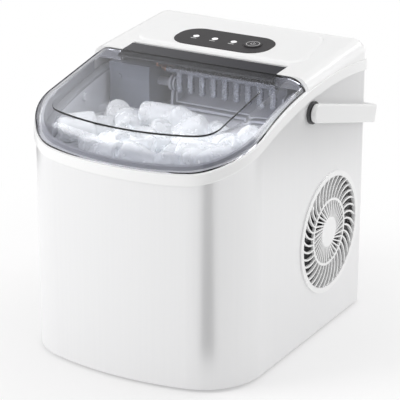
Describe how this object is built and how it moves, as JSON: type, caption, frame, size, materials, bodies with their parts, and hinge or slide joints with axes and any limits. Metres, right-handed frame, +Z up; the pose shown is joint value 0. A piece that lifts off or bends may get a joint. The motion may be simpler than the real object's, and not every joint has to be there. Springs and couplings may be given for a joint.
{
  "type": "countertop ice maker",
  "caption": "Compact white countertop bullet ice maker with a smoke-tinted flip-up lid, ice basket, tilting tray, fan and folding carry handle.",
  "frame": {"origin": "middle of the whole machine's footprint box, on the surface it stands on", "axes": "+X is the side with the round air grille, +Y is the rear where the handle lies folded, +Z is up; the bowed front with the lid's low edge faces -Y"},
  "size_m": [0.243, 0.286, 0.2699],
  "materials": {
    "cabinet_white": "satin white with faint upright brushing",
    "trim_white": "smooth white moulding",
    "smoke_clear": "clear smoke-tinted plastic",
    "hinge_smoke": "dark smoke-tinted plastic",
    "fascia_grey": "dark grey glossy panel",
    "lens_white": "milky indicator lens",
    "handle_white": "smooth white moulding",
    "pivot_dark": "dark moulding",
    "liner_white": "white liner",
    "basket_white": "white moulding",
    "foam_white": "light insulating foam",
    "tray_grey": "pale grey moulding",
    "cover_slate": "blue-grey moulding",
    "nickel": "bright plated copper",
    "copper": "plain copper tube",
    "fin_aluminium": "bare sheet",
    "compressor_black": "black painted steel can",
    "rubber_black": "black rubber",
    "silicone": "milky silicone",
    "steel": "plain plated steel",
    "base_grey": "grey moulding",
    "zinc_sheet": "zinc-plated sheet steel",
    "board_green": "circuit board",
    "motor_black": "black moulding",
    "float_white": "white foam plastic"
  },
  "bodies": {
    "cabinet": {"base_pan": "base_grey", "bin_bezel": "trim_white", "bin_sensors": "motor_black", "cabinet_skin": "cabinet_white", "capillary_line": "copper", "compressor": "compressor_black", "compressor_bolts": "steel", "compressor_grommets": "rubber_black", "condenser_coil": "copper", "condenser_fins": "fin_aluminium", "control_board": "board_green", "control_fascia": "fascia_grey", "cord_gland": "rubber_black", "delivery_hose": "silicone", "discharge_line": "copper", "drain_pipe": "liner_white", "drive_cover": "cover_slate", "evaporator": "nickel", "fan_frame": "zinc_sheet", "fan_motor": "motor_black", "filter_drier": "copper", "float_stem": "float_white", "foot_pads": "rubber_black", "handle_pivots": "pivot_dark", "indicator_lenses": "lens_white", "inner_liner": "liner_white", "intake_hose": "silicone", "lid_hinge_pins": "steel", "liquid_line": "copper", "main_board": "board_green", "rear_panel": "cabinet_white", "rear_panel_screws": "steel", "side_grille": "trim_white", "suction_line": "copper", "tank_foam": "foam_white", "top_housing": "trim_white", "top_trim": "trim_white", "tray_bearing": "cover_slate", "tray_motor": "motor_black", "water_pump": "motor_black"},
    "lid": {"lid_shell": "smoke_clear", "lid_hinge_strip": "hinge_smoke"},
    "handle": {"handle_bail": "handle_white"},
    "button": {"power_button": "fascia_grey"},
    "fan": {"fan_rotor": "motor_black"},
    "tray": {"water_tray": "tray_grey"},
    "shovel": {"ice_shovel": "tray_grey"},
    "basket": {"ice_basket": "basket_white"},
    "plug": {"drain_plug": "silicone"},
    "float": {"tank_float": "float_white"},
    "impeller": {"pump_impeller": "float_white"}
  },
  "joints": [
    {"name": "lid_open", "type": "hinge", "parent": "cabinet", "child": "lid", "pos_m": [0, 0.02259, 0.2582], "axis": [-1, 0, 0], "range_deg": [0, 88]},
    {"name": "handle_swing", "type": "hinge", "parent": "cabinet", "child": "handle", "pos_m": [0, 0.01569, 0.22694], "axis": [1, 0, 0], "range_deg": [0, 105]},
    {"name": "button_press", "type": "slide", "parent": "cabinet", "child": "button", "axis": [0, 0.0718, -0.9974], "range_m": [0, 0.0012], "stiffness_N_per_m": 1200},
    {"name": "fan_spin", "type": "hinge", "parent": "cabinet", "child": "fan", "pos_m": [0.099, 0.05769, 0.0975], "axis": [1, 0, 0], "continuous": true},
    {"name": "tray_tilt", "type": "hinge", "parent": "cabinet", "child": "tray", "pos_m": [0.028, 0.01719, 0.2305], "axis": [-1, 0, 0], "range_deg": [0, 90]},
    {"name": "shovel_sweep", "type": "hinge", "parent": "cabinet", "child": "shovel", "pos_m": [0.028, 0.01719, 0.2305], "axis": [-1, 0, 0], "range_deg": [0, 54]},
    {"name": "basket_lift", "type": "slide", "parent": "cabinet", "child": "basket", "axis": [0, 0, 1], "range_m": [0, 0.01]},
    {"name": "drain_pull", "type": "slide", "parent": "cabinet", "child": "plug", "axis": [0, 1, 0], "range_m": [0, 0.022]},
    {"name": "float_rise", "type": "slide", "parent": "cabinet", "child": "float", "axis": [0, 0, 1], "range_m": [0, 0.025]},
    {"name": "pump_spin", "type": "hinge", "parent": "cabinet", "child": "impeller", "pos_m": [0.013, 0.03719, 0.017], "axis": [0, 0, 1], "continuous": true}
  ],
  "couplings": [
    {"joint": "shovel_sweep", "follows": "tray_tilt", "ratio": 0.6}
  ]
}
